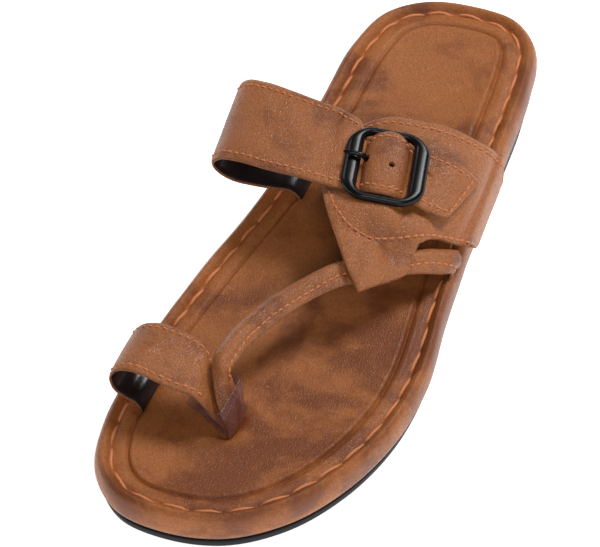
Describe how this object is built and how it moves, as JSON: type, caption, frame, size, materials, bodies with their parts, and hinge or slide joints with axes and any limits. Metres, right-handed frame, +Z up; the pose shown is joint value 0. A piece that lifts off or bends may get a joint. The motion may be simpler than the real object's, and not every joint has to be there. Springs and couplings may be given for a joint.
{
  "type": "toe ring sandal",
  "caption": "Flat leather toe ring sandal: padded footbed on a ribbed rubber sole, fanned instep panel, wide strap with a rounded buckle, slim band and ring round the big toe",
  "frame": {"origin": "Middle of the sandal's footprint, on the floor", "axes": "+Z up, +Y towards the heel, -Y towards the toe, +X the outer side of the left foot"},
  "size_m": [0.1112, 0.2776, 0.055],
  "materials": {
    "outsole": "matt black moulded",
    "footbed_leather": "oiled tan, slightly mottled",
    "strap_leather": "oiled tan, slightly mottled",
    "buckle": "gloss black",
    "keeper_leather": "smooth tan",
    "film": "thin clear plum film"
  },
  "bodies": {
    "root": {"outsole": "outsole", "footbed": "footbed_leather", "upper": "strap_leather", "buckle_strap": "strap_leather", "buckle_frame": "buckle", "buckle_prong": "buckle", "buckle_keeper": "keeper_leather", "toe_post_sleeve": "film"}
  },
  "joints": []
}
